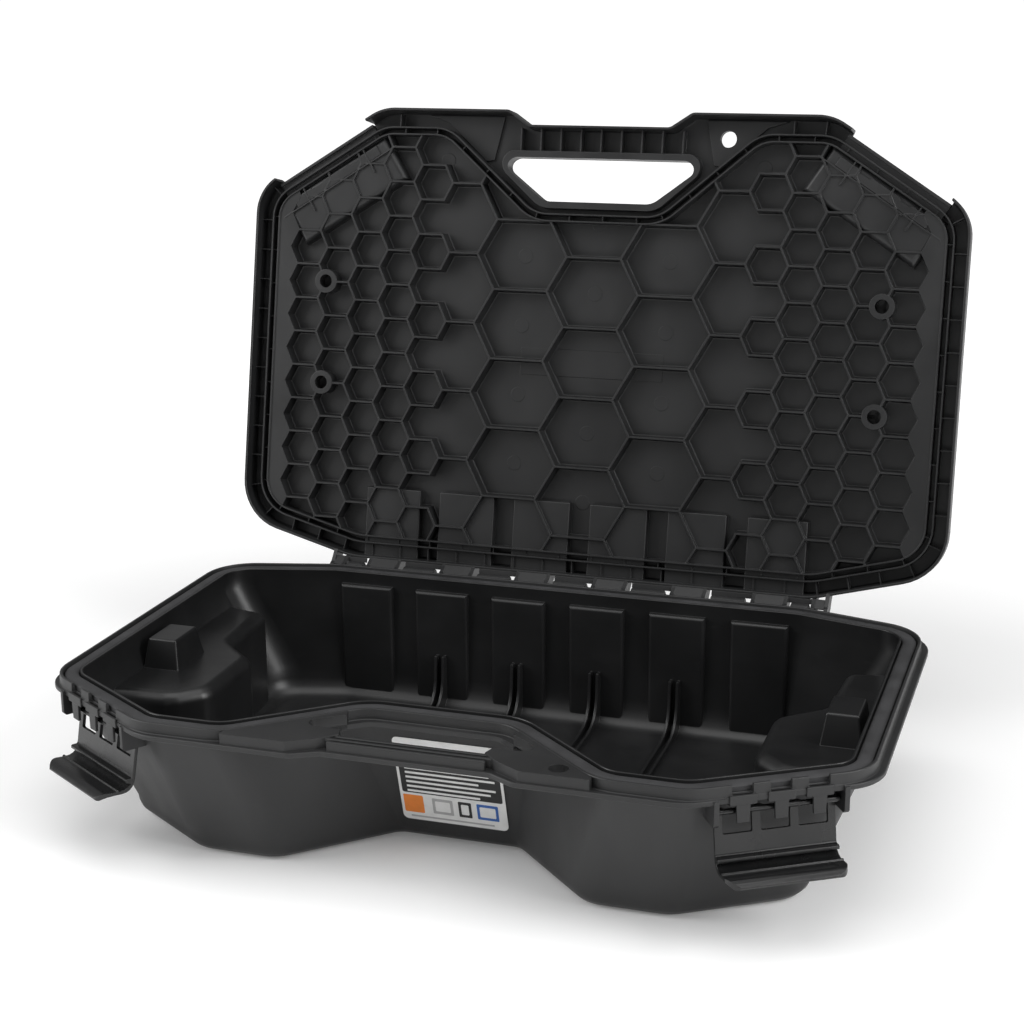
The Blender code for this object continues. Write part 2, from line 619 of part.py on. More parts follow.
def main():
    clear_scene()
    case = new_collection("cargo case")
    cutters = new_collection("cutters")
    black = (0.018, 0.018, 0.019)
    tub_plastic = material("tub plastic", black, 0.55)
    lid_plastic = material("lid plastic", black, 0.55)
    lever_plastic = material("lever plastic", (0.012, 0.012, 0.013), 0.32)
    seal_rubber = material("seal rubber", (0.035, 0.036, 0.038), 0.75)
    pin_steel = material("pin steel", (0.45, 0.45, 0.46), 0.35, 1.0)
    label_film = material("label film", (0.80, 0.80, 0.80), 0.45)

    groups = {}
    tub_groups = ("tub core", "tub inside", "tub cuts", "tub outside", "tub bores")
    lid_groups = ("lid adds", "lid cuts", "honeycomb cells")
    for name in tub_groups + lid_groups:
        groups[name] = bpy.data.collections.new(name)
        cutters.children.link(groups[name])

    tub = tub_shell(case, tub_plastic)
    tub_core(groups["tub core"])
    add_tub_inside(groups["tub inside"], groups["tub core"])
    add_tub_outside(groups["tub outside"])
    cut_tub(groups["tub cuts"])
    add_object("pin hole", rod(PIN_R + GAP, -0.23, 0.23, HINGE_Y, HINGE_Z), groups["tub bores"])
    boolean(tub, groups["tub inside"], "UNION")
    boolean(tub, groups["tub cuts"], "DIFFERENCE")
    boolean(tub, groups["tub outside"], "UNION")
    boolean(tub, groups["tub bores"], "DIFFERENCE")

    seal_profile = [(-0.0050, -0.0058), (0.0050, -0.0058), (0.0050, -0.0020)]
    seal_profile += [(0.0028, -0.0008), (-0.0028, -0.0008), (-0.0050, -0.0020)]
    seal_rings = [(outline(SEAL_HALF, out), RIM_Z + height) for out, height in seal_profile]
    add_object("rim_seal", ring_solid(seal_rings), case, seal_rubber)

    add_object("hinge_pin", rod(PIN_R, -0.2125, 0.2125, HINGE_Y, HINGE_Z), case, pin_steel)

    lid = lid_shell(case, lid_plastic)
    build_lid_adds(groups["lid adds"])
    honeycomb(groups["lid adds"], groups["honeycomb cells"])
    cut_lid(groups["lid cuts"])
    boolean(lid, groups["lid adds"], "UNION")
    boolean(lid, groups["lid cuts"], "DIFFERENCE")
    hinge = bpy.data.objects.new("hinge axis", None)
    case.objects.link(hinge)
    hinge.location = (0, HINGE_Y, HINGE_Z)
    hinge.rotation_euler = (-LID_OPEN, 0, 0)
    place = Matrix.Translation((0, -HINGE_Y, -HINGE_Z))
    for name in lid_groups:
        for helper in groups[name].objects:
            helper.parent = hinge
            helper.location = place.translation
    lid.parent = hinge
    lid.location = place.translation

    for side in (-1, 1):
        thing, helpers = lever(side, case, lever_plastic)
        pivot = bpy.data.objects.new(f"latch axis {side}", None)
        case.objects.link(pivot)
        pivot.matrix_world = latch_frame(side) @ Matrix.Rotation(-LATCH_SWING, 4, "X")
        for part in [thing] + helpers:
            part.parent = pivot

    wall_top = Vector((0, REAR_Y - SEAL_HALF[0][1] + 0.003, RIM_Z - 0.016))
    wall_foot = Vector((0, REAR_Y - FOOT_HALF[0][1], 0.012))
    slope = math.atan2(wall_foot.y - wall_top.y, wall_top.z - wall_foot.z)
    low, high = (-LABEL_WIDTH / 2, -0.0007, -LABEL_HEIGHT / 2), (LABEL_WIDTH / 2, -GAP, LABEL_HEIGHT / 2)
    label = add_object("label", box(low, high), case, label_film)
    label.location = wall_top.lerp(wall_foot, 0.52)
    label.rotation_euler = (slope, 0, 0)


main()
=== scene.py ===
import json
import math
import bmesh
import bpy
from mathutils import Matrix, Vector


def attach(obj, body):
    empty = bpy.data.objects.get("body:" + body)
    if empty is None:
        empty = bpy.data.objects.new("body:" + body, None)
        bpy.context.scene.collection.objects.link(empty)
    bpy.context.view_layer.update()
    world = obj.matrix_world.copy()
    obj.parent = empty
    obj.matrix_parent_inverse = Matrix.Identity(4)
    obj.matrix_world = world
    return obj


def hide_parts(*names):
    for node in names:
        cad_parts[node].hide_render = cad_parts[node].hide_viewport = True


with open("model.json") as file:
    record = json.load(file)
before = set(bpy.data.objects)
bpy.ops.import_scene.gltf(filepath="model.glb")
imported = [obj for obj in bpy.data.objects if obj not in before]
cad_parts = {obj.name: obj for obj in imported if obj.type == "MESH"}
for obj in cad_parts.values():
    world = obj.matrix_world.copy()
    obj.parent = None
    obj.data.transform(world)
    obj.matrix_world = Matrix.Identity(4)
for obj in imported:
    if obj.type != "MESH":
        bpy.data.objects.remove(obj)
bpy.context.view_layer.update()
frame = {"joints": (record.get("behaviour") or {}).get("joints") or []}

# Sizes shared by tub and lid, in metres. Heights are counted from the sealing plane at rimZ,
# depths from the rear run of the sealing line at rearY.
case = {
    "rimZ": 0.110,
    "rearY": 0.165,
    "lidTop": 0.016,
    "panel": 0.0125,
    "ribTip": 0.001,
    "station": 0.065,
    "softenAngle": 0.45,
    "sealRibs": 0.00275,
    "earHalf": 0.0016,
    "arcSteps": 9,
}
# Corners of each plan line's right half: x, depth, corner radius
sealLine = [
    (0.053, 0.2735, 0.034), (0.130, 0.3405, 0.030), (0.185, 0.3405, 0.030),
    (0.280, 0.2800, 0.026), (0.280, 0.0230, 0.030), (0.192, 0.0, 0.060),
]
edgeLine = [
    (0.058, 0.3465, 0.008), (0.0755, 0.3583, 0.008), (0.186, 0.3583, 0.040),
    (0.2955, 0.2885, 0.036), (0.2955, 0.0110, 0.042), (0.194, -0.0155, 0.070),
]
flangeLine = [
    (0.058, 0.3440, 0.008), (0.0755, 0.3533, 0.008), (0.1845, 0.3533, 0.040),
    (0.2935, 0.2838, 0.036), (0.2935, 0.0110, 0.042), (0.194, -0.0155, 0.070),
]
footLine = [
    (0.042, 0.2465, 0.008), (0.108, 0.3110, 0.030), (0.168, 0.3110, 0.034),
    (0.246, 0.2600, 0.034), (0.246, 0.0220, 0.034), (0.182, 0.0050, 0.055),
]
rimZ, rearY = case["rimZ"], case["rearY"]
alongX = Matrix(((0, 0, 1, 0), (1, 0, 0, 0), (0, 1, 0, 0), (0, 0, 0, 1)))  # a side profile, run along X
acrossY = Matrix(((1, 0, 0, 0), (0, 0, 1, 0), (0, 1, 0, 0), (0, 0, 0, 1)))  # a front profile, run along Y
pocketX = [case["station"] * (n - 2.5) for n in range(6)]
joints = {joint["name"]: joint for joint in frame["joints"]}


# Basic shapes


def outline(line, offset=0.0):
    # a plan line's rounded outline, moved outwards by offset; both halves, counter-clockwise from above
    plan = [(x, rearY - d, r) for x, d, r in line]
    plan += [(-x, y, r) for x, y, r in reversed(plan)]
    points = []
    for i, (x, y, radius) in enumerate(plan):
        here = Vector((x, y))
        back = (Vector(plan[i - 1][:2]) - here).normalized()
        ahead = (Vector(plan[(i + 1) % len(plan)][:2]) - here).normalized()
        bend = 1 if back.cross(ahead) < 0 else -1
        centre = here + (back + ahead).normalized() * (radius / math.sin(back.angle(ahead) / 2))
        arcRadius = max(radius + bend * offset, 0.0005)
        start = math.atan2(back.x * bend, -back.y * bend)
        end = math.atan2(-ahead.x * bend, ahead.y * bend)
        sweep = (end - start + math.pi) % (2 * math.pi) - math.pi
        for k in range(case["arcSteps"] + 1):
            a = start + sweep * k / case["arcSteps"]
            points.append((centre.x + arcRadius * math.cos(a), centre.y + arcRadius * math.sin(a)))
    return points


def startLoop(bm, points, height):
    verts = [bm.verts.new((x, y, height)) for x, y in points]
    edges = [bm.edges.new((verts[i - 1], verts[i])) for i in range(len(verts))]
    return verts, edges


def climb(bm, loop, points, height):
    # one extrusion of the loop; each new corner then goes to its place on the next outline
    made = bmesh.ops.extrude_edge_only(bm, edges=loop[1])["geom"]
    fresh = {g for g in made if isinstance(g, bmesh.types.BMVert)}
    verts = [next(e.other_vert(v) for e in v.link_edges if e.other_vert(v) in fresh) for v in loop[0]]
    for v, (x, y) in zip(verts, points):
        v.co = (x, y, height)
    edges = [bm.edges.get((verts[i - 1], verts[i])) for i in range(len(verts))]
    return verts, edges


def wallSolid(rings, closed=False):
    # rings are (outline points, height); closed joins the last to the first, else both ends are capped
    bm = bmesh.new()
    first = loop = startLoop(bm, *rings[0])
    for points, height in rings[1:]:
        loop = climb(bm, loop, points, height)
    if closed:
        loop = climb(bm, loop, *rings[0])
        bmesh.ops.remove_doubles(bm, verts=first[0] + loop[0], dist=1e-6)
    else:
        bmesh.ops.contextual_create(bm, geom=first[1])
        bmesh.ops.contextual_create(bm, geom=loop[1])
    bmesh.ops.recalc_face_normals(bm, faces=bm.faces)
    return bm


def soften(bm, width, segments=2, edges=None):
    chosen = edges
    if edges is None:
        chosen = [e for e in bm.edges if e.is_manifold and e.calc_face_angle(0) > case["softenAngle"]]
    bmesh.ops.bevel(
        bm, geom=chosen, offset=width, segments=segments, profile=0.5, affect="EDGES",
        material=-1, clamp_overlap=True,
    )
    return bm


def block(low, high, place=None, width=0.0005, segments=2):
    bm = bmesh.new()
    bmesh.ops.create_cube(bm, size=1.0)
    bmesh.ops.scale(bm, vec=Vector(high) - Vector(low), verts=bm.verts)
    bmesh.ops.translate(bm, vec=(Vector(high) + Vector(low)) / 2, verts=bm.verts)
    if width:
        soften(bm, width, segments)
    if place:
        bmesh.ops.transform(bm, matrix=place, verts=bm.verts)
    return bm


def prism(points, low, high, place=None, width=0.0005, segments=2):
    bm = bmesh.new()
    edges = startLoop(bm, points, low)[1]
    base = bmesh.ops.contextual_create(bm, geom=edges)["faces"]
    top = bmesh.ops.extrude_face_region(bm, geom=base)["geom"]
    raised = [g for g in top if isinstance(g, bmesh.types.BMVert)]
    bmesh.ops.translate(bm, vec=(0, 0, high - low), verts=raised)
    bmesh.ops.recalc_face_normals(bm, faces=bm.faces)
    if width:
        soften(bm, width, segments)
    if place:
        bmesh.ops.transform(bm, matrix=place, verts=bm.verts)
        bmesh.ops.recalc_face_normals(bm, faces=bm.faces)
    return bm


def rise(edge):
    # how far an edge climbs
    return abs(edge.verts[0].co.z - edge.verts[1].co.z)


def post(radius, x, y, low, high, sides=32, width=0.0):
    bm = bmesh.new()
    bmesh.ops.create_cone(
        bm, cap_ends=True, segments=sides, radius1=radius, radius2=radius, depth=high - low
    )
    if width:
        soften(bm, width, 2)
    bmesh.ops.translate(bm, vec=(x, y, (low + high) / 2), verts=bm.verts)
    return bm


def rod(radius, low, high, y, z, sides=24, width=0.0):
    bm = post(radius, 0, 0, low, high, sides, width)
    bmesh.ops.rotate(bm, matrix=Matrix.Rotation(math.pi / 2, 3, "Y"), verts=bm.verts)
    bmesh.ops.translate(bm, vec=(0, y, z), verts=bm.verts)
    return bm


def mirrored(bm, side):
    if side < 0:
        bmesh.ops.transform(bm, matrix=Matrix.Scale(-1, 4, Vector((1, 0, 0))), verts=bm.verts)
        bmesh.ops.reverse_faces(bm, faces=bm.faces)
    return bm


def joined(parts):
    bm = bmesh.new()
    for part in parts:
        mesh = bpy.data.meshes.new("part")
        part.to_mesh(mesh)
        part.free()
        bm.from_mesh(mesh)
        bpy.data.meshes.remove(mesh)
    return bm


def helper(bm):
    mesh = bpy.data.meshes.new("helper")
    bm.to_mesh(mesh)
    bm.free()
    thing = bpy.data.objects.new("helper", mesh)
    bpy.context.scene.collection.objects.link(thing)
    return thing


def carve(solid, cutters, operation="DIFFERENCE"):
    # cuts (or keeps what is inside) and gives back the result as a new bmesh
    body, tool = helper(solid), helper(joined(cutters))
    mod = body.modifiers.new("carve", "BOOLEAN")
    mod.operation, mod.object, mod.solver = operation, tool, "EXACT"
    bpy.context.view_layer.update()
    mesh = bpy.data.meshes.new_from_object(body.evaluated_get(bpy.context.evaluated_depsgraph_get()))
    bm = bmesh.new()
    bm.from_mesh(mesh)
    for thing in (body, tool):
        old = thing.data
        bpy.data.objects.remove(thing)
        bpy.data.meshes.remove(old)
    bpy.data.meshes.remove(mesh)
    return bm


def finishPiece(name, parts, body, nodes, turn=None, sharp=32.0):
    # parts are (bmesh, material or a function that picks one for a face); they become one object
    mesh = bpy.data.meshes.new(name)
    bm = bmesh.new()
    mats = []
    for part, surface in parts:
        part.normal_update()
        for face in part.faces:
            mat = surface(face) if callable(surface) else surface
            if mat not in mats:
                mats.append(mat)
                mesh.materials.append(mat)
            face.material_index = mats.index(mat)
            face.smooth = True
        temp = bpy.data.meshes.new("part")
        part.to_mesh(temp)
        part.free()
        bm.from_mesh(temp)
        bpy.data.meshes.remove(temp)
    if turn:
        bmesh.ops.transform(bm, matrix=turn, verts=bm.verts)
    bm.to_mesh(mesh)
    bm.free()
    mesh.set_sharp_from_angle(angle=math.radians(sharp))
    thing = bpy.data.objects.new(name, mesh)
    bpy.context.scene.collection.objects.link(thing)
    steady = thing.modifiers.new("steady shading", "WEIGHTED_NORMAL")
    steady.keep_sharp = True
    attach(thing, body)
    if nodes:
        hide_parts(*nodes)
    print(name, len(mesh.polygons), "faces")
    return thing


# Shader graphs


class Wire:
    def __init__(self, graph, socket):
        self.graph, self.socket = graph, socket

    def math(self, operation, a, b):
        return self.graph.add("ShaderNodeMath", {"operation": operation}, {0: a, 1: b})

    def __add__(self, other):
        return self.math("ADD", self, other)

    def __radd__(self, other):
        return self.math("ADD", other, self)

    def __sub__(self, other):
        return self.math("SUBTRACT", self, other)

    def __rsub__(self, other):
        return self.math("SUBTRACT", other, self)

    def __mul__(self, other):
        return self.math("MULTIPLY", self, other)

    def __rmul__(self, other):
        return self.math("MULTIPLY", other, self)


class Graph:
    def __init__(self, name):
        self.material = bpy.data.materials.new(name)
        self.material.use_nodes = True
        self.tree = self.material.node_tree
        self.shader = self.tree.nodes["Principled BSDF"]

    def add(self, kind, settings=None, sockets=None, output=0):
        node = self.tree.nodes.new(kind)
        for key, value in (settings or {}).items():
            if key == "stops":
                ramp = node.color_ramp
                for i, (place, color) in enumerate(value):
                    stop = ramp.elements[i] if i < 2 else ramp.elements.new(place)
                    stop.position, stop.color = place, color
            else:
                setattr(node, key, value)
        for key, value in (sockets or {}).items():
            self.feed(node.inputs[key], value)
        return Wire(self, node.outputs[output])

    def feed(self, socket, value):
        if isinstance(value, Wire):
            self.tree.links.new(value.socket, socket)
        else:
            socket.default_value = value

    def noise(self, scale, detail=2.0, rough=0.5, stretch=(1, 1, 1)):
        place = self.add("ShaderNodeTexCoord", output="Object")
        if stretch != (1, 1, 1):
            place = self.add("ShaderNodeMapping", None, {"Vector": place, "Scale": stretch})
        sockets = {"Vector": place, "Scale": scale, "Detail": detail, "Roughness": rough}
        return self.add("ShaderNodeTexNoise", None, sockets)

    def ramp(self, value, low, high):
        return self.add(
            "ShaderNodeMapRange", None,
            {"Value": value, "From Min": low, "From Max": high, "To Min": 0.0, "To Max": 1.0},
        )

    def blend(self, factor, first, second):
        # colours: Mix keeps them colours; its colour inputs are sockets 6 and 7, its colour output is 2
        return self.add("ShaderNodeMix", {"data_type": "RGBA"}, {0: factor, 6: first, 7: second}, 2)

    def bump(self, height, strength, distance, under=None):
        sockets = {"Height": height, "Strength": strength, "Distance": distance}
        if under:
            sockets["Normal"] = under
        return self.add("ShaderNodeBump", None, sockets)

    def finish(self, **sockets):
        for key, value in sockets.items():
            self.feed(self.shader.inputs[key.replace("_", " ")], value)
        return self.material


def mouldedPlastic(name, look):
    # black moulded plastic: fine grain, faint flow streaks, a few pale specks and soft scuffs
    g = Graph(name)
    grain = g.noise(look["grainScale"], 3.0, 0.6)
    coarse = g.noise(look["cloudScale"], 3.0, 0.55)
    streak = g.noise(34.0, 3.0, 0.6, look["streak"])
    fine = g.noise(2600.0, 1.0, 0.5)
    specks = g.ramp(fine, 0.70, 0.78) * look["speck"]
    scuff = g.ramp(g.noise(75.0, 5.0, 0.72, (1, 1, 3.0)), 0.60, 0.80) * look["scuff"]
    dark, pale = (*look["dark"], 1.0), (*look["pale"], 1.0)
    color = g.blend(g.ramp(coarse, 0.30, 0.72), dark, pale)
    color = g.blend(specks, color, (0.10, 0.10, 0.10, 1.0))
    color = g.blend(scuff * 0.5, color, (0.040, 0.040, 0.041, 1.0))
    rough = look["rough"] + g.ramp(coarse, 0.25, 0.75) * 0.10 + scuff * 0.14
    rough = rough + g.ramp(streak, 0.35, 0.7) * 0.08 - 0.08
    edge = g.add("ShaderNodeBevel", {"samples": 4}, {"Radius": 0.0004})
    normal = g.bump(grain, look["grain"], 0.00012, edge)
    normal = g.bump(coarse, look["wave"], 0.0006, normal)
    return g.finish(
        Base_Color=color, Roughness=rough, Normal=normal, Specular_IOR_Level=look["specular"], IOR=1.5,
    )


outsideLook = {
    "dark": (0.0125, 0.0127, 0.0132), "pale": (0.0185, 0.0187, 0.0192), "rough": 0.50, "specular": 0.50,
    "grainScale": 1500.0, "grain": 0.55, "cloudScale": 16.0, "wave": 0.05, "speck": 0.35, "scuff": 0.25,
    "streak": (1, 1, 0.2),
}
insideLook = dict(outsideLook, dark=(0.0085, 0.0087, 0.0090), pale=(0.0130, 0.0131, 0.0135), rough=0.36,
                  grain=0.30, speck=0.18, scuff=0.45, wave=0.10, streak=(0.25, 1, 1))
lidLook = dict(outsideLook, dark=(0.0090, 0.0092, 0.0096), pale=(0.0145, 0.0147, 0.0152), rough=0.42,
               grain=0.40, speck=0.25, scuff=0.30)
leverLook = dict(outsideLook, dark=(0.0070, 0.0071, 0.0074), pale=(0.0100, 0.0101, 0.0105), rough=0.27,
                 grain=0.10, speck=0.05, scuff=0.35, wave=0.04)

tubOutside = mouldedPlastic("tub outside", outsideLook)
tubInside = mouldedPlastic("tub inside", insideLook)
lidPlastic = mouldedPlastic("lid inside", lidLook)
lidOutside = mouldedPlastic("lid outside", outsideLook)
leverPlastic = mouldedPlastic("lever plastic", leverLook)


def sealRubber():
    g = Graph("seal rubber")
    cloud, pores = g.noise(60.0, 3.0), g.noise(2200.0, 2.0)
    color = g.blend(g.ramp(cloud, 0.3, 0.7), (0.020, 0.020, 0.021, 1.0), (0.034, 0.034, 0.036, 1.0))
    dust = g.ramp(g.noise(420.0, 4.0, 0.7), 0.60, 0.75) * 0.25
    color = g.blend(dust, color, (0.11, 0.11, 0.11, 1.0))
    rough = 0.62 + g.ramp(cloud, 0.3, 0.7) * 0.14
    return g.finish(Base_Color=color, Roughness=rough, Normal=g.bump(pores, 0.35, 0.0001))


def pinSteel():
    g = Graph("pin steel")
    lines = g.noise(900.0, 2.0, 0.5, (0.05, 1, 1))
    tone = g.ramp(lines, 0.3, 0.7)
    color = g.blend(tone, (0.36, 0.36, 0.37, 1.0), (0.55, 0.55, 0.56, 1.0))
    rough, turned = 0.28 + tone * 0.18, g.bump(lines, 0.2, 0.00005)
    return g.finish(Base_Color=color, Roughness=rough, Metallic=1.0, Normal=turned)


def printedFilm(name, color, gloss=0.36):
    g = Graph(name)
    cloud = g.noise(140.0, 3.0)
    tired = tuple(c * 0.90 for c in color)
    shade = g.blend(g.ramp(cloud, 0.35, 0.75), (*color, 1.0), (*tired, 1.0))
    rough, grain = gloss + g.ramp(cloud, 0.3, 0.7) * 0.10, g.bump(g.noise(500.0), 0.08, 0.0001)
    return g.finish(Base_Color=shade, Roughness=rough, Normal=grain)


print("materials ready")


# Tub


def swelling(side, grow, reach, foot, width=0.010):
    # the side wall's inward swelling, larger by grow than the mounting recess behind it
    x = 0.280 + reach
    lobe = [
        (x, 0.240 + grow), (0.225 - grow, 0.236 + grow), (0.203 - grow, 0.215 + grow),
        (0.203 - grow, 0.150 - grow), (0.235 - grow, 0.122 - grow), (0.238 - grow, 0.050 - grow),
        (x, 0.042 - grow),
    ]
    bm = prism([(px, rearY - d) for px, d in lobe], foot, rimZ - 0.030 + grow, width=0)
    upright = [e for e in bm.edges if rise(e) > 0.01 and all(v.co.x < x - 0.01 for v in e.verts)]
    soften(bm, 0.007, 4, upright)
    high = [e for e in bm.edges if all(v.co.z > rimZ - 0.031 + grow for v in e.verts)]
    soften(bm, width, 5, [e for e in high if e.calc_face_angle(0) > 0.5])
    return mirrored(bm, side)


knobSize = {
    "foot": 0.0247, "top": 0.0178, "height": 0.030,
    "spread": (0.90, 1.36, 1.0), "x": 0.2555, "depth": 0.171, "middle": 0.023,
}


def knob(side, grow):
    bm = bmesh.new()
    bmesh.ops.create_cone(
        bm, cap_ends=True, segments=4,
        radius1=knobSize["foot"], radius2=knobSize["top"], depth=knobSize["height"],
    )
    bmesh.ops.rotate(bm, matrix=Matrix.Rotation(math.pi / 4, 3, "Z"), verts=bm.verts)
    bmesh.ops.scale(bm, vec=knobSize["spread"], verts=bm.verts)
    soften(bm, 0.0016, 3)
    place = (knobSize["x"] - grow / 2, rearY - knobSize["depth"], rimZ - knobSize["middle"] + grow)
    bmesh.ops.translate(bm, vec=place, verts=bm.verts)
    return mirrored(bm, side)


def gripOutline(grow):
    half = [(0.045, 0.2865), (0.0790, 0.3125), (0.0745, 0.3215)]
    moved = [(0.6, -1.0), (0.9, 0.0), (0.9, 1.0)]
    points = [(x + grow * dx, rearY - d - grow * dd) for (x, d), (dx, dd) in zip(half, moved)]
    return points + [(-x, y) for x, y in reversed(points)]


def gripPrism(grow, low, high, tipWidth=0.0):
    bm = prism(gripOutline(grow), low, high, width=0)
    soften(bm, 0.007, 5, [e for e in bm.edges if rise(e) > 0.001])
    if tipWidth:
        soften(bm, tipWidth, 2, [e for e in bm.edges if rise(e) < 1e-6 and e.calc_face_angle(0) > 0.7])
    return bm


def latchPlace(side):
    # X along the hinge line, Y outwards, Z up, the origin on the pivot bar
    joint = joints["latch_right_hinge" if side > 0 else "latch_left_hinge"]
    axis, up = Vector(joint["axis"]).normalized(), Vector((0, 0, 1))
    turn = Matrix((axis, up.cross(axis), up)).transposed().to_4x4()
    return Matrix.Translation(Vector(joint["pos_m"])) @ turn


latch = {
    "width": 0.080, "barRadius": 0.0019, "clipPitch": 0.025, "clipWidth": 0.018,
    "neckWidth": 0.0095, "arcRadius": 0.0100,
}
hinge = {
    "y": joints["lid_hinge"]["pos_m"][1], "z": joints["lid_hinge"]["pos_m"][2],
    "pin": 0.0020, "barrel": 0.0072, "bore": 0.0023, "reach": 0.23, "pinEnd": 0.2125,
}
lockX, lockY, lockR = 0.1020, rearY - 0.3400, 0.0065


def lockHole(high=0.03):
    return post(lockR, lockX, lockY, rimZ - 0.03, rimZ + high)


def pinBore():
    return rod(hinge["bore"], -hinge["reach"], hinge["reach"], hinge["y"], hinge["z"])


def tubCore():
    # the tub's outer form a little inside its skin, which the fillings are trimmed to
    rings = [
        (footLine, -0.0105, 0.0006), (footLine, -0.0060, 0.0026), (footLine, -0.0027, 0.0060),
        (footLine, -0.0005, 0.0135), (sealLine, -0.0035, rimZ - 0.0165), (sealLine, -0.0035, rimZ - 0.0050),
    ]
    return wallSolid([(outline(line, offset), height) for line, offset, height in rings])


def tubShell():
    z = rimZ
    outer = [
        (footLine, -0.0140, 0.0), (footLine, -0.0100, 0.0003), (footLine, -0.0055, 0.0021),
        (footLine, -0.0022, 0.0055), (footLine, -0.0005, 0.0095), (footLine, 0.0, 0.0135),
        (sealLine, -0.0030, z - 0.0165), (sealLine, -0.0022, z - 0.0143),
        (sealLine, -0.0002, z - 0.0118), (sealLine, 0.0085, z - 0.0110), (flangeLine, -0.0006, z - 0.0110),
        (flangeLine, 0.0, z - 0.0104), (flangeLine, 0.0, z - 0.0081), (flangeLine, -0.0006, z - 0.0075),
        (sealLine, 0.0093, z - 0.0075), (sealLine, 0.0087, z - 0.0070), (sealLine, 0.0084, z - 0.0003),
    ]
    inner = [
        (sealLine, 0.0084, z - 0.0003), (sealLine, 0.0080, z + 0.0002), (sealLine, 0.0067, z + 0.0002),
        (sealLine, 0.0063, z - 0.0002),
        (sealLine, 0.0056, z - 0.0062), (sealLine, -0.0056, z - 0.0062), (sealLine, -0.0060, z - 0.0004),
        (sealLine, -0.0063, z), (sealLine, -0.0073, z), (sealLine, -0.0077, z - 0.0005),
        (sealLine, -0.0068, z - 0.0160), (footLine, -0.0036, 0.0260), (footLine, -0.0042, 0.0170),
        (footLine, -0.0060, 0.0115), (footLine, -0.0095, 0.0068), (footLine, -0.0145, 0.0041),
        (footLine, -0.0200, 0.0034),
    ]
    return wallSolid([(outline(line, offset), height) for line, offset, height in outer + inner[1:]])


pocket = {
    "half": 0.0222, "face": 0.0122, "top": 0.0105,
    "hollowHalf": 0.0192, "hollowFace": 0.0095, "hollowTop": 0.0185,
}


def recessCutters():
    cutters = []
    for x in pocketX:
        low = (x - pocket["hollowHalf"], rearY - pocket["hollowFace"], -0.01)
        high = (x + pocket["hollowHalf"], rearY + 0.010, rimZ - pocket["hollowTop"])
        cutters.append(block(low, high, width=0.002, segments=3))
    cutters += [swelling(side, 0.0, 0.03, -0.02, 0.009) for side in (-1, 1)]
    return cutters


def tubSurface(face):
    # the case's own finish inside the wall's middle surface, the outer finish beyond it
    centre = face.calc_center_median()
    share = min(max((centre.z - 0.0135) / (rimZ - 0.030), 0.0), 1.0)
    foot, seal = outline(footLine, -0.0018), outline(sealLine, -0.0050)
    ring = [Vector(a).lerp(Vector(b), share) for a, b in zip(foot, seal)]
    within = False
    for a, b in zip(ring, ring[1:] + ring[:1]):
        if (a.y > centre.y) != (b.y > centre.y):
            if centre.x < a.x + (b.x - a.x) * (centre.y - a.y) / (b.y - a.y):
                within = not within
    return tubInside if within and centre.z > 0.0018 else tubOutside


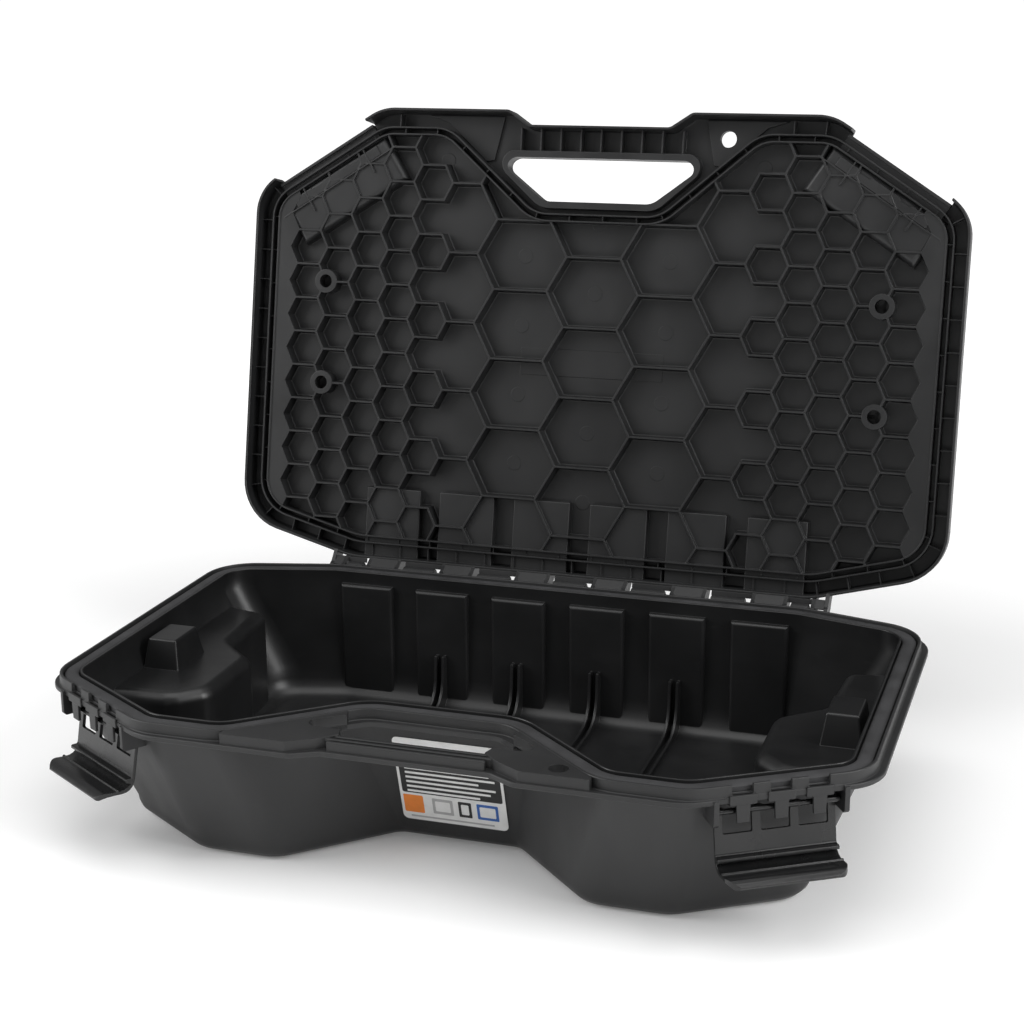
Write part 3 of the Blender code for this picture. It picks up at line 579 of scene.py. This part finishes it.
def buildTub():
    shell = carve(tubShell(), recessCutters())
    gaps = [block((-0.0407, 0.0043, -0.02), (0.0407, 0.02, 0.030), latchPlace(s), 0) for s in (-1, 1)]
    shell = carve(shell, gaps)
    notches = []
    for side in (-1, 1):
        for n in (-1, 0, 1):
            s = n * latch["clipPitch"]
            low, high = (s - 0.007, 0.0007, 0.0118), (s + 0.007, 0.01, 0.04)
            notches.append(block(low, high, latchPlace(side), 0.0008))
    holes = [gripPrism(0.0, rimZ - 0.03, rimZ + 0.01), lockHole(0.01)]
    shell = carve(shell, notches + holes)
    parts = [(shell, tubSurface)]

    fillings = []
    for x in pocketX:
        low = (x - pocket["half"], rearY - pocket["face"], 0.001)
        bm = block(low, (x + pocket["half"], rearY - 0.004, rimZ - pocket["top"]), width=0)
        front = [e for e in bm.edges if all(v.co.y < low[1] + 0.0002 for v in e.verts)]
        fillings.append(soften(bm, 0.0028, 5, front))
    fillings += [swelling(side, 0.003, -0.004, 0.001) for side in (-1, 1)]
    inner = carve(carve(joined(fillings), [tubCore()], "INTERSECT"), recessCutters())
    knobs = carve(joined([knob(side, 0.003) for side in (-1, 1)]), recessCutters())
    parts += [(inner, tubInside), (knobs, tubInside)]

    # pairs of ribs climb the four middle pockets and run forward over the floor
    depths = [
        (0.23, 0.002), (0.010, 0.002), (0.010, 0.047), (0.0178, 0.0475), (0.0188, 0.040), (0.0196, 0.028),
        (0.0222, 0.019), (0.0275, 0.0130), (0.0360, 0.0090), (0.0480, 0.0072), (0.23, 0.0060),
    ]
    ribSide = [(rearY - d, h) for d, h in depths]
    for n in range(4):
        for side in (-1, 1):
            x = (n - 1.5) * case["station"] + side * 0.0031
            parts.append((prism(ribSide, x - 0.0011, x + 0.0011, alongX, 0.0005), tubInside))

    # a plate on each side of the grip, then the bar's three ridges
    cornersXd = [
        (0.0600, 0.2896), (0.1251, 0.3462), (0.1251, 0.3515),
        (0.0790, 0.3515), (0.0600, 0.3400), (0.0500, 0.3300),
    ]
    for side in (-1, 1):
        points = [(side * x, rearY - d) for x, d in cornersXd]
        plate = prism(points, rimZ - 0.0115, rimZ, width=0.0006)
        holes = [gripPrism(0.0, rimZ - 0.03, rimZ + 0.01), lockHole(0.01)]
        parts.append((carve(plate, holes), tubOutside))
    for n in range(3):
        y, half = rearY - 0.3305 - 0.0050 * n, 0.060 - 0.003 * n
        low, high = (-half, y - 0.0015, rimZ - 0.010), (half, y + 0.0015, rimZ - 0.0010)
        parts.append((block(low, high, None, 0.0009, 3), tubOutside))

    barrels = [(n * case["station"] - 0.0135, n * case["station"] + 0.0135) for n in range(-2, 3)]
    barrels += [(-0.194, -0.180), (0.180, 0.194)]
    y, z = hinge["y"], hinge["z"]
    knuckles = [rod(hinge["barrel"], low, high, y, z, 32, 0.0006) for low, high in barrels]
    parts.append((carve(joined(knuckles), [pinBore()]), tubOutside))
    for low, high in barrels:
        web = block((low + 0.0004, rearY - 0.004, z - 0.0070), (high - 0.0004, y - 0.0035, z + 0.0020))
        parts.append((web, tubOutside))

    for side in (-1, 1):
        place = latchPlace(side)
        for end in (-1, 1):
            s = end * (latch["width"] / 2 + 0.0026)
            cheek = [
                (-0.0135, -0.0080), (0.0045, -0.0080), (0.0065, -0.0060), (0.0065, 0.0100), (-0.0095, 0.0100),
            ]
            parts.append((prism(cheek, s - 0.0018, s + 0.0018, place @ alongX, 0.0005), tubOutside))
        for n in (-1, 0, 1):
            s = n * latch["clipPitch"]
            reach = latch["clipWidth"] / 2
            head = block((s - reach, 0.0020, 0.0054), (s + reach, 0.0055, 0.0118), place, 0.0006, 3)
            half = latch["neckWidth"] / 2
            narrow = half * 0.86
            taper = [(s - narrow, -0.0063), (s + narrow, -0.0063), (s + half, 0.0066), (s - half, 0.0066)]
            neck = prism(taper, 0.0033, 0.0054, place @ acrossY, 0.0005)
            parts += [(head, tubOutside), (neck, tubOutside)]
    return finishPiece("tubMoulding", parts, "tub", ["tub"])


def buildSeal():
    profile = [
        (-0.0050, -0.0058), (0.0050, -0.0058), (0.0050, -0.0024), (0.0044, -0.0017), (0.0028, -0.0010),
        (0.0, -0.0008), (-0.0028, -0.0010), (-0.0044, -0.0017), (-0.0050, -0.0024),
    ]
    bm = wallSolid([(outline(sealLine, out), rimZ + h) for out, h in profile], closed=True)
    finishPiece("rimSeal", [(bm, sealRubber())], "tub", ["rim_seal"])


def buildPin():
    bm = rod(hinge["pin"], -hinge["pinEnd"], hinge["pinEnd"], hinge["y"], hinge["z"], 32, 0.0004)
    finishPiece("hingePin", [(bm, pinSteel())], "tub", ["hinge_pin"])


# Lid, modelled closed and then turned open

lidTurn = Matrix.Translation((0, hinge["y"], hinge["z"]))
lidTurn = lidTurn @ Matrix.Rotation(-math.radians(joints["lid_hinge"]["range_deg"][1]), 4, "X")
lidTurn = lidTurn @ Matrix.Translation((0, -hinge["y"], -hinge["z"]))
comb = {
    "bigPitch": 0.0607, "bigHeight": 0.0566, "bigEdge": 0.0452,
    "smallPitch": 0.0272, "smallHeight": 0.0283, "smallEdge": 0.0202,
    "firstX": 0.1405, "firstY": rearY - 0.2140,
}
boss = {"x": 0.232, "depths": (0.2142, 0.1292), "radius": 0.0100, "bore": 0.0055}
bossPlaces = [(s * boss["x"], rearY - d) for s in (-1, 1) for d in boss["depths"]]


def insetPolygon(points, inset):
    result = []
    for i, point in enumerate(points):
        here, back, ahead = Vector(point), Vector(points[i - 1]), Vector(points[(i + 1) % len(points)])
        d1, d2 = (here - back).normalized(), (ahead - here).normalized()
        n1, n2 = Vector((-d1.y, d1.x)), Vector((-d2.y, d2.x))
        result.append(tuple(here + (n1 + n2) * (inset / (1 + n1.dot(n2)))))
    return result


def sixSided(x, y, edge, pitch, height):
    tip = pitch - edge / 2
    return [
        (x - tip, y), (x - edge / 2, y - height / 2), (x + edge / 2, y - height / 2),
        (x + tip, y), (x + edge / 2, y + height / 2), (x - edge / 2, y + height / 2),
    ]


def joinedCell(side, y):
    # a cell that joins a large one's outer half to a small one
    x, edgeX = comb["firstX"], comb["bigPitch"] * 2 - comb["bigEdge"] / 2
    tip = comb["smallPitch"] - comb["smallEdge"] / 2
    q, h = comb["smallHeight"] / 2, comb["bigHeight"] / 2
    half = [(edgeX, -h), (x - tip, -h), (x - comb["smallEdge"] / 2, -q), (x + comb["smallEdge"] / 2, -q)]
    points = half + [(x + tip, 0.0)] + [(px, -py) for px, py in reversed(half)]
    points.append((comb["bigPitch"] + comb["bigEdge"] / 2, 0.0))
    points = [(side * px, y + py) for px, py in points]
    return points if side > 0 else points[::-1]


def combCells():
    big = [comb[key] for key in ("bigEdge", "bigPitch", "bigHeight")]
    small = [comb[key] for key in ("smallEdge", "smallPitch", "smallHeight")]
    cells = []
    for column in (-1, 0, 1):
        shift = comb["bigHeight"] / 2 if column else 0.0
        for row in range(-4, 5):
            y = comb["firstY"] + row * comb["bigHeight"] + shift
            cells.append(sixSided(column * comb["bigPitch"], y, *big))
    for side in (-1, 1):
        for row in range(-4, 5):
            y = comb["firstY"] + row * comb["bigHeight"] + comb["bigHeight"] / 2
            cells.append(sixSided(side * comb["firstX"], y, *small))
            cells.append(joinedCell(side, y + comb["bigHeight"] / 2))
        for column in (1, 2, 3, 4):
            x = side * (comb["firstX"] + column * comb["smallPitch"])
            first = comb["firstY"] + comb["bigHeight"] / 2 + (comb["smallHeight"] / 2 if column % 2 else 0.0)
            for row in range(-7, 8):
                cells.append(sixSided(x, first + row * comb["smallHeight"], *small))
    return [c for c in cells if min(abs(x) for x, y in c) < 0.30 and rearY - 0.38 < c[0][1] < rearY + 0.03]


def latchPockets():
    # the recess in the lid's outer face that a closed lever's lip reaches over
    low, high = (-0.0465, -0.0435, 0.0235), (0.0465, -0.0100, 0.06)
    return [block(low, high, latchPlace(side), 0.002, 3) for side in (-1, 1)]


def latchLedges():
    # the step down to the ledge that a lever hooks, and the set-back below it
    ledges = [block((-0.0470, -0.0105, 0.0280), (0.0470, 0.03, 0.06), latchPlace(s), 0) for s in (-1, 1)]
    return ledges, [block((-0.0470, 0.0057, 0.0), (0.0470, 0.03, 0.06), latchPlace(s), 0) for s in (-1, 1)]


def buildComb():
    # one plate; each cell is cut with drafted sides and a broken edge at the rib's tip
    top, tip = rimZ + case["panel"], rimZ + case["ribTip"]
    line = outline(sealLine, -0.0030)
    plate = wallSolid([(line, tip), (line, top + 0.001)])
    rings = [
        (0.0004, tip - 0.004), (0.0006, tip - 0.0001), (0.0010, tip + 0.0005),
        (0.0013, top - 0.0016), (0.0019, top - 0.0004), (0.0030, top + 0.0002),
    ]
    cutters = []
    for points in combCells():
        cutters.append(wallSolid([(insetPolygon(points, inset), height) for inset, height in rings]))
    plate = carve(plate, cutters)
    plate = carve(plate, latchPockets() + [gripPrism(0.001, rimZ - 0.03, rimZ + 0.03)])
    holes = [post(boss["bore"], x, y, rimZ - 0.01, rimZ + case["panel"] - 0.0015) for x, y in bossPlaces]
    return carve(plate, holes)


def perimeter(line, offset, pitch):
    # places at even steps round an outline, each with its outward direction
    points = [Vector(p) for p in outline(line, offset)]
    places, left = [], pitch / 2
    for i, here in enumerate(points):
        ahead = points[(i + 1) % len(points)]
        run = (ahead - here).length
        while left < run:
            spot = here.lerp(ahead, left / run)
            along = (ahead - here).normalized()
            places.append((spot, Vector((along.y, -along.x))))
            left += pitch
        left -= run
    return places


def facing(spot, out):
    # a place at spot with X pointing along out
    return Matrix(((out.x, -out.y, 0, spot.x), (out.y, out.x, 0, spot.y), (0, 0, 1, 0), (0, 0, 0, 1)))


def lidSurface(face):
    # upper faces and the skirt's outer side have the case's outer finish
    centre = face.calc_center_median()
    fromMiddle = centre.xy - Vector((0, rearY - 0.17))
    outward = centre.z < rimZ + 0.0118 and fromMiddle.dot(face.normal.xy) > 0.05
    return lidOutside if centre.z > rimZ + 0.0130 or outward else lidPlastic


def latchBulge(side):
    # the swelling under a latch recess, its flat bar with two shallow notches, and the ribs that cross it
    place = latchPlace(side)
    bulge = block((-0.0535, -0.0495, 0.0205), (0.0535, -0.0075, 0.0315), place, 0)
    soften(bulge, 0.0060, 5, [e for e in bulge.edges if all(v.co.z < rimZ + 0.004 for v in e.verts)])
    for cutters in (latchPockets(), latchLedges()[0]):
        bulge = carve(bulge, cutters)
    bar = block((-0.0430, -0.0200, 0.0192), (0.0430, -0.0115, 0.0225), place, 0.0008, 2)
    notches = []
    for s in (-0.019, 0.019):
        corners = [
            (s - 0.0070, -0.0110), (s - 0.0045, -0.0140), (s + 0.0045, -0.0140), (s + 0.0070, -0.0110),
        ]
        notches.append(prism(corners, 0.0180, 0.0300, place, 0))
    made = [bulge, carve(bar, notches)]
    made.append(block((-0.0580, -0.0214, 0.0188), (0.0580, -0.0202, 0.0310), place, 0.0003))
    for s in (-0.031, 0.031):
        made.append(block((s - 0.0006, -0.0300, 0.0187), (s + 0.0006, -0.0075, 0.0230), place, 0.0003))
    made.append(block((-0.0480, -0.0095, 0.0230), (0.0480, 0.0057, 0.0280), place, 0.0004))
    made.append(block((-0.0480, 0.0033, 0.0202), (0.0480, 0.0057, 0.0250), place, 0.0004))
    return made


def cornerPad(side):
    # the raised plate beside the grip; the right-hand one carries the padlock hole
    shape = [(0.0840, 0.3545), (0.1500, 0.3545), (0.1330, 0.3490), (0.0985, 0.3180), (0.0915, 0.3190)]
    pad = prism([(side * x, rearY - d) for x, d in shape], rimZ + 0.0104, rimZ + 0.0130, width=0.0006)
    return [carve(pad, [lockHole()])]


def ejectorMarks():
    first, height = comb["firstY"], comb["bigHeight"]
    big = [(0.0, first + row * height) for row in (-1, 0, 1, 2, 3)]
    beside = [(s * comb["bigPitch"], first + (row + 0.5) * height) for s in (-1, 1) for row in (-1, 0, 1, 2)]
    ends = [(side * 0.132, rearY - 0.318) for side in (-1, 1)]
    small = [(side * 0.1190, rearY - 0.3455, 0.0042) for side in (-1, 1)]
    return [(x, y, 0.0060) for x, y in big + beside + ends] + small


def lidShell():
    z, edge, top = rimZ, edgeLine, case["lidTop"]
    rings = [(-0.0120, top), (-0.0071, top), (-0.0042, top - 0.0007), (-0.0020, top - 0.0016)]
    rings += [(-0.0007, top - 0.0037), (0.0, top - 0.0066), (0.0, -0.0061)]
    rings += [(-0.0004, -0.0065), (-0.0016, -0.0065), (-0.0020, -0.0061)]
    rings += [(-0.0024, 0.0115), (-0.0034, 0.0125), (-0.0100, 0.0125)]
    shell = wallSolid([(outline(edge, offset), z + height) for offset, height in rings])
    ledges, setBacks = latchLedges()
    for cutters in (latchPockets(), ledges, setBacks):
        shell = carve(shell, cutters)
    holes = [post(boss["bore"], x, y, rimZ - 0.01, rimZ + case["panel"]) for x, y in bossPlaces]
    holes += [gripPrism(0.0, rimZ - 0.03, rimZ + 0.03), lockHole()]
    return carve(shell, holes)


def hingePlates():
    # a web closes each pair of ears, and a short lip runs on over the tub's barrels
    y, h, pitch = hinge["y"], hinge["z"], case["station"]
    web = [
        (y - 0.0105, h + 0.0045), (y - 0.0113, h + 0.0036),
        (y - 0.0046, h - 0.0032), (y - 0.0037, h - 0.0023),
    ]
    lip = [
        (y - 0.0110, h + 0.0052), (y - 0.0105, h + 0.0040),
        (y - 0.0067, h + 0.0036), (y - 0.0065, h + 0.0048),
    ]
    runs = [(web, x - 0.0115, x + 0.0117) for x in pocketX]
    runs += [(lip, n * pitch - 0.0145, n * pitch + 0.0183) for n in range(-2, 3)]
    runs += [(lip, -0.1975, -0.1790), (lip, 0.1760, 0.1975), (web, -0.2060, -0.1985), (web, 0.1985, 0.2060)]
    return [prism(shape, low, high, alongX, 0.0002) for shape, low, high in runs]


def buildLid():
    z = rimZ
    parts = [(lidShell(), lidSurface), (buildComb(), lidPlastic)]
    # two sealing ribs press on the rubber, with short ties between them
    profile = [
        (-0.0005, 0.0), (0.0005, 0.0), (0.0007, 0.0003),
        (0.0009, 0.0135), (-0.0009, 0.0135), (-0.0007, 0.0003),
    ]
    for middle in (-case["sealRibs"], case["sealRibs"]):
        rings = [(outline(sealLine, middle + out), z + h) for out, h in profile]
        parts.append((carve(wallSolid(rings, closed=True), latchLedges()[0]), lidPlastic))
    for spot, out in perimeter(sealLine, 0.0, 0.028):
        low, high = (-0.0024, -0.0005, z + 0.0035), (0.0024, 0.0005, z + 0.0130)
        parts.append((block(low, high, facing(spot, out), 0.0002), lidPlastic))

    for x, y in bossPlaces:
        ring = post(boss["radius"], x, y, z + 0.0005, z + 0.0135, 40, 0.0007)
        parts.append((carve(ring, [post(boss["bore"], x, y, z - 0.01, z + 0.011, 32)]), lidPlastic))
    for x in pocketX:
        low, high = (x - 0.024, rearY - 0.044, z + 0.0045), (x + 0.024, rearY + 0.0145, z + 0.0135)
        parts.append((block(low, high, None, 0.0012, 3), lidPlastic))
    ring = carve(gripPrism(0.0055, z + 0.0022, z + 0.0135, 0.0008), [gripPrism(0.0, z - 0.03, z + 0.03)])
    parts.append((ring, lidPlastic))
    for side in (-1, 1):
        parts += [(part, lidPlastic) for part in latchBulge(side)]
        parts += [(part, lidPlastic) for part in cornerPad(side)]
    for x, y, radius in ejectorMarks():
        parts.append((post(radius, x, y, z + 0.0122, z + 0.0130, 40, 0.0001), lidPlastic))
    low, high = (-0.060, rearY - 0.168, z + 0.0120), (0.060, rearY - 0.146, z + 0.0130)
    parts.append((block(low, high, None, 0.0003), lidPlastic))
    for n in range(-4, 5):
        x = n * 0.0168
        low, high = (x - 0.0006, rearY - 0.3450, z + 0.0030), (x + 0.0006, rearY - 0.3268, z + 0.0130)
        parts.append((block(low, high, None, 0.0003), lidPlastic))

    # thin ribs tie the skirt to the outer sealing rib
    latchMiddles = [latchPlace(side).translation.xy for side in (-1, 1)]
    for spot, out in perimeter(sealLine, 0.0075, 0.025):
        besideGrip = abs(spot.x) < 0.150 and spot.y < rearY - 0.2
        if besideGrip or min((spot - m).length for m in latchMiddles) < 0.052:
            continue
        rib = block((-0.0048, -0.0005, z + 0.0030), (0.0062, 0.0005, z + 0.0130), facing(spot, out), 0.0003)
        parts.append((rib, lidPlastic))

    stations = [x + side * 0.01275 for x in pocketX for side in (-1, 1)]
    ears = []
    for x in stations + [-0.2075, -0.1970, 0.1970, 0.2075]:
        y, h = hinge["y"], hinge["z"]
        root = rearY + 0.0155 - (0.0060 if abs(x) > 0.2 else 0.0010)
        arm = [
            (y - 0.0064, h - 0.0016), (y - 0.0048, h - 0.0045), (y, h - 0.0066), (y + 0.0047, h - 0.0047),
            (y + 0.0066, h), (y + 0.0060, h + 0.0060), (root, z + 0.0095), (root, z - 0.0060),
        ]
        ears.append(prism(arm, x - case["earHalf"], x + case["earHalf"], alongX, 0.0004))
    parts.append((carve(joined(ears), [pinBore()]), lidPlastic))
    parts += [(plate, lidPlastic) for plate in hingePlates()]
    return finishPiece("lidMoulding", parts, "lid", ["lid"], lidTurn)


# Latch levers, modelled closed and then turned open


def buildLever(side):
    half = latch["width"] / 2
    # from the bar the arms step out to the wall, which rises to the hook channel and the lip over it
    profile = [
        (0.0, -0.0016), (0.0058, -0.0014), (0.0078, -0.0004), (0.0088, 0.0018), (0.0090, 0.0050),
        (0.0090, 0.0300), (0.0087, 0.0328), (0.0077, 0.0356), (0.0060, 0.0380), (0.0035, 0.0396),
        (0.0, 0.0405), (-0.0060, 0.0411), (-0.0105, 0.0418), (-0.0132, 0.0432), (-0.0150, 0.0448),
        (-0.0165, 0.0450), (-0.0172, 0.0436), (-0.0154, 0.0412), (-0.0125, 0.0394), (-0.0085, 0.0388),
        (-0.0042, 0.0385), (-0.0038, 0.0372), (-0.0026, 0.0372), (-0.0022, 0.0383), (0.0012, 0.0376),
        (0.0038, 0.0362), (0.0060, 0.0338), (0.0032, 0.0332), (0.0020, 0.0328), (0.0018, 0.0310),
        (0.0026, 0.0302), (0.0060, 0.0297), (0.0066, 0.0286), (0.0066, 0.0050), (0.0056, 0.0018),
        (0.0, 0.0016),
    ]
    plate = prism(profile, -half, half, alongX, 0.0004, 2)
    cutters = []
    for n in (-1, 0, 1):
        s, reach = n * latch["clipPitch"], latch["clipWidth"] / 2 + 0.0008
        cutters.append(block((s - reach, -0.004, -0.004), (s + reach, 0.012, 0.0162), None, 0.0012, 3))
    for end in (-1, 1):
        # the lip's outer corners are rounded
        radius = latch["arcRadius"]
        middle = Vector((end * (half - radius), -0.0072))
        turns = [math.radians(9 * n) for n in range(11)]
        arc = [(middle.x + end * radius * math.cos(a), middle.y - radius * math.sin(a)) for a in turns]
        cutters.append(prism(arc + [(end * (half + 0.002), -0.0200)], 0.0350, 0.0500, width=0))
    plate = carve(plate, cutters)
    bar = rod(latch["barRadius"], -half, half, 0.0, 0.0, 24, 0.0004)
    swing = math.radians(joints["latch_right_hinge"]["range_deg"][1])
    turn = latchPlace(side) @ Matrix.Rotation(-swing, 4, "X")
    name, node = ("leverRight", "latch_lever_right") if side > 0 else ("leverLeft", "latch_lever_left")
    body = "latch_right" if side > 0 else "latch_left"
    finishPiece(name, [(plate, leverPlastic), (bar, leverPlastic)], body, [node], turn)


# Label: a printed film with plain blocks and bars


def buildLabel():
    size = {"width": 0.077, "height": 0.072, "corner": 0.004, "film": 0.00025}
    top = Vector((0, rearY - 0.2735 + 0.003, rimZ - 0.016))
    foot = Vector((0, rearY - 0.2465, 0.012))
    slope = math.atan2(foot.y - top.y, top.z - foot.z)
    place = Matrix.Translation(top.lerp(foot, 0.52)) @ Matrix.Rotation(slope, 4, "X")
    flat = place @ Matrix.Rotation(math.pi / 2, 4, "X")  # X right, Y up the wall, Z outwards

    def panel(x0, y0, x1, y1, level, corner, mat, depth=0.00006):
        bm = block((x0, y0, 0.00030), (x1, y1, 0.00030 + size["film"] + level * depth), None, 0)
        soften(bm, corner, 5, [e for e in bm.edges if rise(e) > 1e-5])
        bmesh.ops.transform(bm, matrix=flat, verts=bm.verts)
        return bm, mat

    white = printedFilm("film white", (0.80, 0.80, 0.79))
    black = printedFilm("film black", (0.012, 0.012, 0.012))
    orange = printedFilm("film orange", (0.85, 0.24, 0.03))
    blue = printedFilm("film blue", (0.03, 0.12, 0.42))
    grey = printedFilm("film grey", (0.42, 0.42, 0.42))
    w, h = size["width"] / 2, size["height"] / 2
    parts = [panel(-w, -h, w, h, 0, size["corner"], white)]
    parts.append(panel(-w + 0.002, -0.0120, w - 0.002, h - 0.010, 1, 0.0015, black))
    parts.append(panel(-w + 0.002, -h + 0.0065, -w + 0.0165, -0.0140, 1, 0.0010, orange))
    for row in range(9):
        y = h - 0.0140 - row * 0.0040
        end = w - 0.006 - (0.012 if row % 3 == 2 else 0.004 * (row % 2))
        parts.append(panel(-w + 0.006, y - 0.0009, end, y + 0.0009, 2, 0.0004, white))
    for x, wide, ink in ((-0.0155, 0.0150, grey), (0.0035, 0.0095, black), (0.0170, 0.0155, blue)):
        parts.append(panel(x, -0.0285, x + wide, -0.0150, 1, 0.0008, ink))
        parts.append(panel(x + 0.002, -0.0262, x + wide - 0.002, -0.0173, 2, 0.0008, white))
    parts.append(panel(-w + 0.006, -h + 0.0026, w - 0.010, -h + 0.0040, 1, 0.0003, grey))
    finishPiece("labelFilm", parts, "tub", ["label"])


# Studio


def buildStudio():
    studio = {
        "lens": 67.92, "eye": (0.4246, -1.23243, 0.59332), "yaw": 18.388, "pitch": 16.051, "roll": -0.502,
        "floor": (0.93, 0.93, 0.93), "near": 0.10, "far": 0.80, "surround": 0.30, "backdrop": 1.05,
    }
    yaw, pitch, roll = (math.radians(studio[k]) for k in ("yaw", "pitch", "roll"))
    ahead = Vector((-math.sin(yaw) * math.cos(pitch), math.cos(yaw) * math.cos(pitch), -math.sin(pitch)))
    right = Vector((math.cos(yaw), math.sin(yaw), 0))
    up = right.cross(ahead)
    r2 = math.cos(roll) * right + math.sin(roll) * up
    u2 = -math.sin(roll) * right + math.cos(roll) * up
    camera = bpy.data.objects.new("camera", bpy.data.cameras.new("camera"))
    bpy.context.scene.collection.objects.link(camera)
    camera.data.lens = studio["lens"]
    camera.data.sensor_width = 36.0
    camera.data.clip_start = 0.05
    camera.matrix_world = Matrix.Translation(studio["eye"]) @ Matrix((r2, u2, -ahead)).transposed().to_4x4()
    bpy.context.scene.camera = camera
    bpy.context.scene.view_settings.view_transform = "Standard"

    bm = bmesh.new()
    bmesh.ops.create_grid(bm, x_segments=1, y_segments=1, size=9.0)
    mesh = bpy.data.meshes.new("floor")
    bm.to_mesh(mesh)
    bm.free()
    floor = bpy.data.objects.new("floor", mesh)
    bpy.context.scene.collection.objects.link(floor)
    g = Graph("floor paper")
    # the sweep glows further out, as a lit backdrop does, and leaves the contact shadow alone
    place = g.add("ShaderNodeTexCoord", output="Object")
    away = g.add("ShaderNodeVectorMath", {"operation": "LENGTH"}, {0: place}, "Value")
    glow = g.blend(g.ramp(away, 0.55, 1.70), (studio["near"],) * 3 + (1.0,), (studio["far"],) * 3 + (1.0,))
    mesh.materials.append(g.finish(
        Base_Color=(*studio["floor"], 1.0), Roughness=0.9, Specular_IOR_Level=0.1,
        Emission_Color=glow, Emission_Strength=1.0,
    ))

    world = bpy.data.worlds.new("studio")
    bpy.context.scene.world = world
    world.use_nodes = True
    nodes, links = world.node_tree.nodes, world.node_tree.links
    back = nodes["Background"]
    path = nodes.new("ShaderNodeLightPath")
    mix = nodes.new("ShaderNodeMix")
    mix.inputs[2].default_value, mix.inputs[3].default_value = studio["surround"], studio["backdrop"]
    links.new(path.outputs["Is Camera Ray"], mix.inputs[0])
    links.new(mix.outputs[0], back.inputs["Strength"])
    back.inputs["Color"].default_value = (1.0, 1.0, 1.0, 1.0)

    def softbox(name, where, aim, size, power):
        lamp = bpy.data.lights.new(name, "AREA")
        lamp.shape, lamp.size, lamp.size_y, lamp.energy = "RECTANGLE", size[0], size[1], power
        thing = bpy.data.objects.new(name, lamp)
        bpy.context.scene.collection.objects.link(thing)
        thing.location = where
        thing.rotation_euler = (Vector(aim) - Vector(where)).to_track_quat("-Z", "Y").to_euler()

    softbox("overhead", (0.1, -0.3, 2.2), (0, 0, 0.1), (2.2, 1.8), 22)
    softbox("left", (-2.0, -0.9, 1.3), (0, 0, 0.2), (1.2, 1.6), 34)
    softbox("right", (2.0, -0.4, 1.2), (0, 0, 0.2), (1.0, 1.6), 34)


buildTub()
buildSeal()
buildPin()
buildLid()
for side in (-1, 1):
    buildLever(side)
buildLabel()
buildStudio()
print("case ready")
